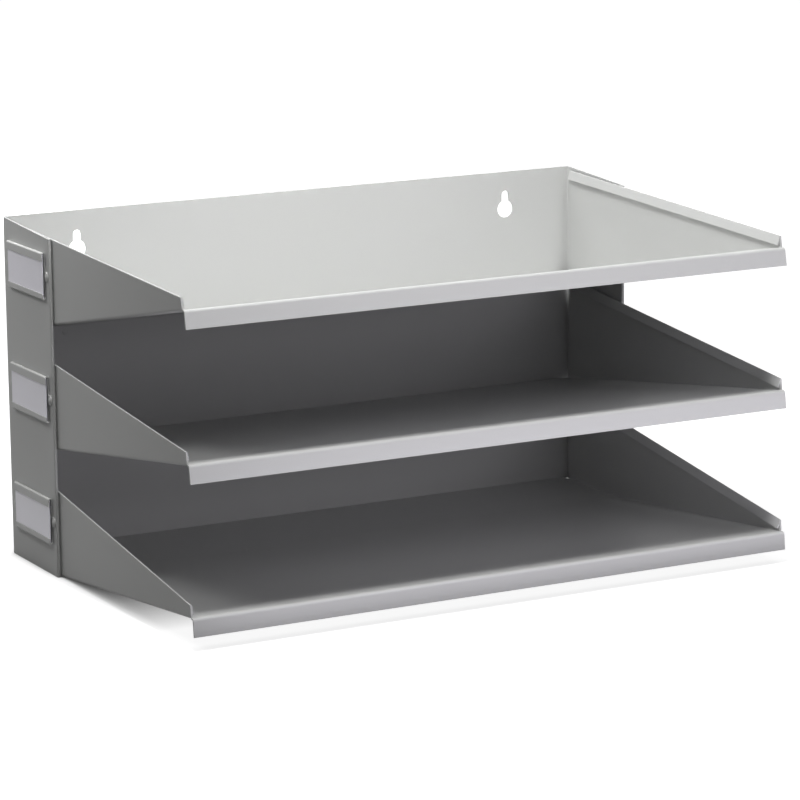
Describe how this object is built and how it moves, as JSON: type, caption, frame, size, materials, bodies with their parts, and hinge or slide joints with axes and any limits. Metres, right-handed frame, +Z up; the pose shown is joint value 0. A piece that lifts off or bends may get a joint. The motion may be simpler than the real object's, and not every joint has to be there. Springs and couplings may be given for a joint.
{
  "type": "desk sorter",
  "caption": "Fanned paper sorter of folded sheet steel: lipped trays between side columns on a back panel with wall keyholes, and card labels that slide in riveted holders.",
  "frame": {"origin": "on the surface that the columns stand on, below the middle of the whole part", "axes": "+X to the right seen from the front, +Y to the wall behind the back panel, +Z up"},
  "size_m": [0.3469, 0.2252, 0.1815],
  "materials": {
    "frame": "smooth satin light grey enamel",
    "tray": "smooth satin light grey enamel",
    "holder": "smooth satin light grey enamel",
    "rivet": "painted over, satin light grey",
    "card": "matt blank card"
  },
  "bodies": {
    "sorter": {"frame": "frame", "tray_top": "tray", "tray_rivets_top": "rivet", "tray_middle": "tray", "tray_rivets_middle": "rivet", "tray_bottom": "tray", "label_holder_top": "holder", "holder_rivets_top": "rivet", "label_holder_middle": "holder", "holder_rivets_middle": "rivet", "label_holder_bottom": "holder", "holder_rivets_bottom": "rivet"},
    "card_top": {"label_card_top": "card"},
    "card_middle": {"label_card_middle": "card"},
    "card_bottom": {"label_card_bottom": "card"}
  },
  "joints": [
    {"name": "card_top_slide", "type": "slide", "parent": "sorter", "child": "card_top", "axis": [0, -1, 0], "range_m": [-0.007, 0.046]},
    {"name": "card_middle_slide", "type": "slide", "parent": "sorter", "child": "card_middle", "axis": [0, -1, 0], "range_m": [-0.007, 0.046]},
    {"name": "card_bottom_slide", "type": "slide", "parent": "sorter", "child": "card_bottom", "axis": [0, -1, 0], "range_m": [-0.007, 0.046]}
  ]
}
